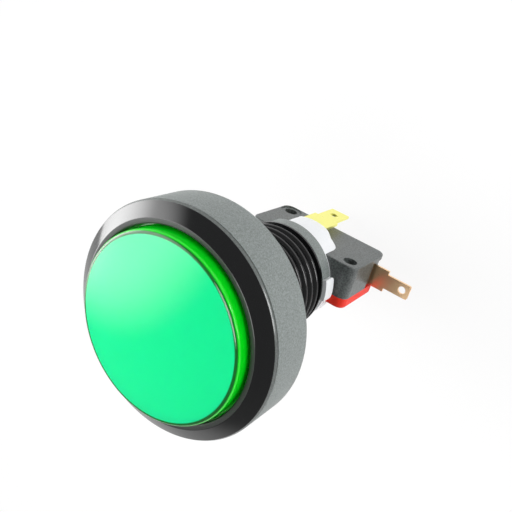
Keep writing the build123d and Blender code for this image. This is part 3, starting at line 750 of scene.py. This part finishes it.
class BUTTON_OT_lens(bpy.types.Operator):
    """Build the clear green lens and the white diffuser under it"""

    bl_idname = "push_button.lens"
    bl_label = "Lens"

    def execute(self, context):
        settings, colours = context.scene.button_sizes, context.scene.button_colours
        size, segments = lengths(settings), settings.segments
        # Radii between which the painted shade of the dark line at the turn and the green of the wall take
        # over
        edge = size.lens_radius
        turn_painted_shade, wall_zone = (edge - 0.9, edge - 0.65), (edge - 0.3, edge - 0.1)
        # Acrylic tinted green and a little milky, so that its rim glows too, with a soft polish
        tinted = clear_tinted(
            "acrylic_green_translucent",
            colours.lens,
            roughness=0.06,
            clear=0.35,
            glow=0.6,
            ior=1.49,
            zones=[(colours.lens_rim_painted_shade, *turn_painted_shade), (colours.lens_edge, *wall_zone)],
        )
        # Milky acrylic that scatters the light: even white
        milky = moulded(
            "acrylic_milky",
            colours.diffuser,
            roughness=0.55,
            grain_mm=0.3,
            grain_height=0.004,
            spread=0.04,
            speck=0.02,
        )
        rings = 40
        lens_inside, lens_thick, edge_round, foot_round = 16.5, 1.6, 0.6, 0.1
        flange_radius, flange_top, flange_low = 19.1, 9.85, 8.45
        # The face stops short of the edge, where the round begins
        face_edge = edge - 0.7
        outside = dome(size, np.linspace(0.0, face_edge, rings), 0.0)
        inside = dome(size, np.linspace(lens_inside, 0.0, rings), lens_thick)
        corner = dome(size, np.array([edge]), 0.0)[0]
        wall = rounded(
            [
                (*outside[-1], 0),
                (*corner, edge_round),
                (edge, flange_top, foot_round),
                (flange_radius, flange_top, foot_round),
                (flange_radius, flange_low, foot_round),
                (lens_inside, flange_low, foot_round),
                (*inside[0], 0),
            ]
        )
        profile = np.concatenate([outside[:-1], wall, inside[1:]])
        shape = turned(profile[:, 0], profile[:, 1], segments, False)
        add_piece("lens_shell", [shape], tinted, BUTTON, ["lens_cap"])
        cup_outside, cup_inside, cup_drop, cup_thick = 16.4, 15.2, 1.7, 1.2
        top = dome(size, np.linspace(0.0, cup_outside, rings), cup_drop)
        under = dome(size, np.linspace(cup_inside, 0.0, rings), cup_drop + cup_thick)
        foot = [(cup_outside, flange_top), (cup_inside, flange_top)]
        profile = np.concatenate([top, foot, under])
        shape = turned(profile[:, 0], profile[:, 1], segments, False)
        add_piece("diffuser_cup", [shape], milky, BUTTON, ["diffuser"])
        return {"FINISHED"}


class BUTTON_OT_spring(bpy.types.Operator):
    """Build the return spring, in one shape, though the real one shortens as the button goes in"""

    bl_idname = "push_button.spring"
    bl_label = "Return spring"

    def execute(self, context):
        colours = context.scene.button_colours
        # Drawn spring steel: bright wire with faint die lines
        steel = rolled_metal(
            "spring_steel_drawn", colours.spring, roughness=0.32, line_mm=0.2, spread=0.05
        )
        wire = coil(radius=11.3, wire=0.7, low=2.45, high=8.3, turns=3.5)
        spring = add_piece("return_spring_coil", [wire], steel, BASE, ["return_spring"])
        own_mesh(spring)
        return {"FINISHED"}


class BUTTON_OT_holder(bpy.types.Operator):
    """Finish the lamp holder, its terminals, the plunger and the lamp"""

    bl_idname = "push_button.holder"
    bl_label = "Lamp holder"

    def execute(self, context):
        colours = context.scene.button_colours
        # Moulded nylon: satin white
        nylon = moulded(
            "nylon_white_satin",
            colours.holder,
            roughness=0.42,
            grain_mm=0.4,
            grain_height=0.003,
            spread=0.05,
            speck=0.02,
        )
        # Stamped brass strip: pale and bright, with rolling lines
        brass = rolled_metal(
            "brass_strip_pale", colours.lamp_tab, roughness=0.3, line_mm=0.15, spread=0.06
        )
        # Cast epoxy of the light-emitting diode: clear as glass
        epoxy = clear_tinted("epoxy_clear", colours.lamp, roughness=0.04, clear=1.0, glow=0.0, ior=1.54)
        # Drawn copper wire, tinned: silvery with a soft gloss
        tinned = rolled_metal("tinned_wire", colours.lead, roughness=0.3, line_mm=0.15, spread=0.05)
        for node in ("lamp_holder", "plunger", "lamp_base"):
            finish_node(node, nylon)
        for node in ("lamp_terminal_upper", "lamp_terminal_lower"):
            finish_node(node, brass)
        finish_node("lamp_led", epoxy)
        finish_node("lamp_leads", tinned)
        # Fuller shoulder on the upper jaw, which closes round the strip of its terminal: a skin from just
        # inside the solid's own round, of 5.5 mm, out to a tighter one
        jaw_inside, jaw_left, jaw_low, jaw_fade = 8.3, -3.2, 8.16, (3.3, 5.8)
        outer = jaw_arc(radius=3.8, middle=7.6, level=-34.6, reach=jaw_inside)
        inner = jaw_arc(radius=5.4, middle=5.9, level=-32.9, reach=jaw_inside)
        skin = jaw_skin(outer, inner, jaw_left, jaw_low, jaw_fade)
        add_piece("holder_jaw_shoulder", [skin], nylon, BASE)
        return {"FINISHED"}


class BUTTON_OT_switch(bpy.types.Operator):
    """Finish the micro switch and its terminals"""

    bl_idname = "push_button.switch"
    bl_label = "Micro switch"

    def execute(self, context):
        colours = context.scene.button_colours
        # Moulded phenolic case: satin black, with a painted grey sheen in its colour
        phenolic = moulded(
            "phenolic_black_satin_painted_sheen",
            colours.case,
            roughness=0.36,
            grain_mm=0.35,
            grain_height=0.012,
            spread=0.06,
            speck=0.5,
            ior=1.63,
        )
        # Moulded ABS cover: satin red
        red = moulded(
            "abs_red_satin",
            colours.cover,
            roughness=0.55,
            grain_mm=0.5,
            grain_height=0.003,
            spread=0.05,
            speck=0.04,
            ior=1.5,
        )
        # The lamp holder's nylon again, on the pin
        nylon = bpy.data.materials["nylon_white_satin"]
        # Stamped brass strip: warm and bright, with rolling lines
        brass = rolled_metal(
            "brass_strip_bright", colours.terminal, roughness=0.3, line_mm=0.15, spread=0.06
        )
        # Rolled bronze spring strip: brown gloss
        bronze = rolled_metal(
            "bronze_spring_strip", colours.blade, roughness=0.28, line_mm=0.15, spread=0.05
        )
        # Pressed silver rivets: white gloss
        silver = rolled_metal("silver_contact", colours.contact, roughness=0.25, line_mm=0.2, spread=0.05)
        finishes = {
            "switch_case": phenolic,
            "switch_cover": red,
            "switch_pin": nylon,
            "switch_blade": bronze,
            "moving_contact": silver,
            "fixed_contact": silver,
            "end_terminal": brass,
            "common_terminal": brass,
        }
        for node, material in finishes.items():
            finish_node(node, material)
        return {"FINISHED"}


# Stage


def facing(right, up, back, place):
    """Matrix of a lamp or camera from its three directions and its place."""
    turn = Matrix((right, up, back)).transposed().to_4x4()
    return Matrix.Translation(place) @ turn


def add_floor(scene, colours):
    """Square of pale matt paper, white to the rays that show it but for a tenth that keeps the shadow."""
    white_share = 0.9
    paper, tree = new_material("paper_white_matt")
    share = add_node(tree, "ShaderNodeMath", {"operation": "MULTIPLY"}, i0=seen_rays(tree), i1=white_share)
    matt = add_node(tree, "ShaderNodeBsdfDiffuse", Color=linear(colours.paper))
    white = add_node(tree, "ShaderNodeEmission", Color=linear(colours.light), Strength=1.0)
    mix = add_node(
        tree, "ShaderNodeMixShader", i0=share.outputs[0], i1=matt.outputs[0], i2=white.outputs[0]
    )
    add_node(tree, "ShaderNodeOutputMaterial", Surface=mix.outputs[0])
    level = cad_box[0].z - FLOOR_GAP
    corners = [(x * FLOOR_HALF, y * FLOOR_HALF, level) for x, y in ((-1, -1), (1, -1), (1, 1), (-1, 1))]
    mesh = bpy.data.meshes.new("floor")
    mesh.from_pydata(corners, [], [(0, 1, 2, 3)])
    mesh.materials.append(paper)
    floor = bpy.data.objects.new("floor", mesh)
    scene.collection.objects.link(floor)


def add_sky(scene, stage, colours):
    """Even light all round, with soft panels added to it.

    Each panel is full within one angle from its middle direction and gone past another: a broad one at the
    upper left, a narrow one lower down that lights the bezel, and a pale band along the horizon, which
    lies 90 degrees from straight up and is white to the rays that show it.
    """
    world = bpy.data.worlds.new("even_light")
    world.use_nodes = True
    tree = world.node_tree
    tree.nodes.clear()
    towards = add_node(tree, "ShaderNodeTexCoord").outputs["Generated"]
    band = add_node(
        tree, "ShaderNodeMapRange", Value=seen_rays(tree), To_Min=stage.horizon, To_Max=1.0 - stage.world
    )
    level = stage.world
    for middle, full, gone, strength in (
        ((-0.81, -0.07, 0.582), 18.0, 36.0, stage.left),
        ((-0.955, -0.153, 0.254), 8.0, 30.0, stage.strip),
        ((0.0, 0.0, 1.0), 84.0, 68.0, band.outputs["Result"]),
    ):
        near = add_node(tree, "ShaderNodeVectorMath", {"operation": "DOT_PRODUCT"}, i0=towards, i1=middle)
        panel = add_node(
            tree,
            "ShaderNodeMapRange",
            {"interpolation_type": "SMOOTHSTEP"},
            Value=near.outputs["Value"],
            From_Min=float(np.cos(np.radians(gone))),
            From_Max=float(np.cos(np.radians(full))),
            To_Max=strength,
        )
        level = add_node(
            tree, "ShaderNodeMath", {"operation": "ADD"}, i0=level, i1=panel.outputs["Result"]
        ).outputs[0]
    sky = add_node(tree, "ShaderNodeBackground", Color=linear(colours.light), Strength=level)
    add_node(tree, "ShaderNodeOutputWorld", Surface=sky.outputs[0])
    scene.world = world


def add_lamp(scene, name, shape, direction, along, long_side, short_side, watts):
    """Soft lamp in a direction from the part, turned to it, with its long side along another direction."""
    lamp = bpy.data.lights.new(name, "AREA")
    lamp.shape = shape
    lamp.size, lamp.size_y = short_side, long_side
    lamp.energy = watts
    lamp_object = bpy.data.objects.new(name, lamp)
    scene.collection.objects.link(lamp_object)
    away = Vector(direction).normalized()
    across = Vector(along).cross(away).normalized()
    place = Vector(LAMP_TARGET) * MM + away * LAMP_DISTANCE
    lamp_object.matrix_world = facing(across, away.cross(across), away, place)


def add_camera(scene, stage):
    """Camera at the angle from which the part is mainly seen."""
    camera = bpy.data.cameras.new("camera")
    camera.lens = stage.lens_mm
    camera.sensor_fit = "HORIZONTAL"
    camera.sensor_width = SENSOR_WIDTH
    camera.clip_start = NEAREST
    camera_object = bpy.data.objects.new("camera", camera)
    scene.collection.objects.link(camera_object)
    camera_object.matrix_world = facing(CAMERA_RIGHT, CAMERA_UP, CAMERA_BACK, Vector(CAMERA_PLACE) * MM)
    scene.camera = camera_object


class BUTTON_OT_stage(bpy.types.Operator):
    """Set the floor, the light and the camera"""

    bl_idname = "push_button.stage"
    bl_label = "Stage"

    def execute(self, context):
        scene, stage, colours = context.scene, context.scene.button_stage, context.scene.button_colours
        add_floor(scene, colours)
        add_sky(scene, stage, colours)
        along_x, along_drum = (1.0, 0.0, 0.0), (-0.44, 0.9, 0.0)
        # Each lamp: name, shape, direction from the part and of its long side, both sides in metres, power
        for lamp in (
            ("right_softbox", "RECTANGLE", (0.895, 0.437, 0.102), along_drum, 0.2, 0.05, stage.right),
            ("top_softbox", "RECTANGLE", (0.55, 0.8, -0.05), along_x, 0.25, 0.25, stage.top),
            ("front_softbox", "ELLIPSE", (-0.05, -0.2, 1.0), along_x, 0.14, 0.14, stage.front),
        ):
            add_lamp(scene, *lamp)
        add_camera(scene, stage)
        scene.view_settings.view_transform = "Standard"
        return {"FINISHED"}


# Add-on


class BUTTON_PT_panel(bpy.types.Panel):
    """Operators and settings of the push button"""

    bl_idname = "BUTTON_PT_panel"
    bl_label = "Push Button"
    bl_space_type = "VIEW_3D"
    bl_region_type = "UI"
    bl_category = "Push Button"

    def draw(self, context):
        for group in ("button_sizes", "button_colours", "button_stage"):
            settings = getattr(context.scene, group)
            for name in settings.__annotations__:
                self.layout.prop(settings, name)
        for operator in OPERATORS:
            self.layout.operator(operator.bl_idname)


OPERATORS = (
    BUTTON_OT_housing,
    BUTTON_OT_bezel,
    BUTTON_OT_lens,
    BUTTON_OT_spring,
    BUTTON_OT_holder,
    BUTTON_OT_switch,
    BUTTON_OT_stage,
)
CLASSES = (ButtonSizes, ButtonColours, StageSettings, *OPERATORS, BUTTON_PT_panel)


def register():
    """Registers the classes and hangs the settings on the scene."""
    for cls in CLASSES:
        bpy.utils.register_class(cls)
    bpy.types.Scene.button_sizes = PointerProperty(type=ButtonSizes)
    bpy.types.Scene.button_colours = PointerProperty(type=ButtonColours)
    bpy.types.Scene.button_stage = PointerProperty(type=StageSettings)


def unregister():
    """Takes the settings off the scene and unregisters the classes."""
    del bpy.types.Scene.button_stage
    del bpy.types.Scene.button_colours
    del bpy.types.Scene.button_sizes
    for cls in reversed(CLASSES):
        bpy.utils.unregister_class(cls)


def main():
    register()
    bpy.ops.push_button.housing()
    bpy.ops.push_button.bezel()
    bpy.ops.push_button.lens()
    bpy.ops.push_button.spring()
    bpy.ops.push_button.holder()
    bpy.ops.push_button.switch()
    bpy.ops.push_button.stage()


if __name__ == "__main__":
    main()
